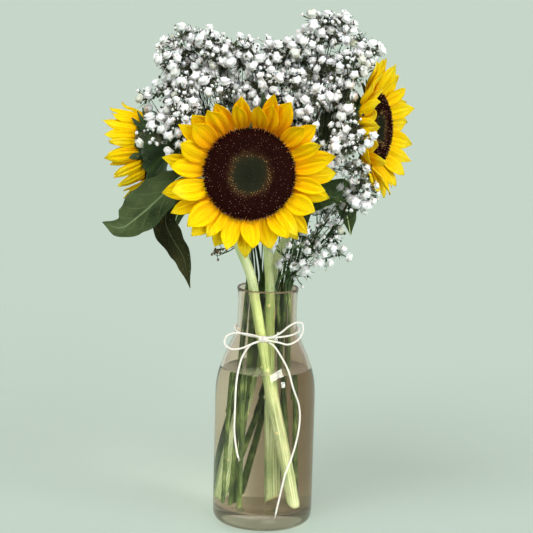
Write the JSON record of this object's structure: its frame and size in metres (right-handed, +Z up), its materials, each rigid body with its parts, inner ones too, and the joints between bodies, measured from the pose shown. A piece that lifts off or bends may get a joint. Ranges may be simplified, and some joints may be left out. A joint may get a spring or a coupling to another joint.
{
  "type": "sunflower bouquet in a bottle vase",
  "caption": "Sunflowers, leaves and baby's breath sprays standing in a glass bottle vase with water, tied at the neck with a twine bow.",
  "frame": {"origin": "middle of the vase's flat foot", "axes": "+Z up along the vase's axis, -Y towards the viewer, the way the front bloom faces, +X to the viewer's right"},
  "size_m": [0.2776, 0.169, 0.4666],
  "materials": {
    "glass": "gloss",
    "water": "gloss",
    "twine": "matte",
    "stem": "satin",
    "petal": "satin",
    "seed_disc": "matte",
    "leaf": "satin",
    "spray": "matte"
  },
  "bodies": {
    "root": {"vase": "glass", "water": "water", "twine_bow": "twine", "twine_tail_left": "twine", "twine_tail_right": "twine", "sunflower_front_stem": "stem", "sunflower_front_petals": "petal", "sunflower_front_disc": "seed_disc", "sunflower_right_stem": "stem", "sunflower_right_petals": "petal", "sunflower_right_disc": "seed_disc", "sunflower_left_stem": "stem", "sunflower_left_petals": "petal", "sunflower_left_disc": "seed_disc", "leaf_left_large": "leaf", "leaf_left_hanging": "leaf", "leaf_left_small": "leaf", "leaf_right_low": "leaf", "leaf_front_upper": "leaf", "leaf_right_upper": "leaf", "leaf_back_right": "leaf", "leaf_back_left": "leaf", "spray_left_top": "spray", "spray_left": "spray", "spray_middle_left": "spray", "spray_middle": "spray", "spray_right_top": "spray", "spray_right": "spray", "spray_right_middle": "spray", "spray_right_front": "spray", "spray_right_low": "spray", "spray_back": "spray", "spray_back_low": "spray"}
  },
  "joints": []
}
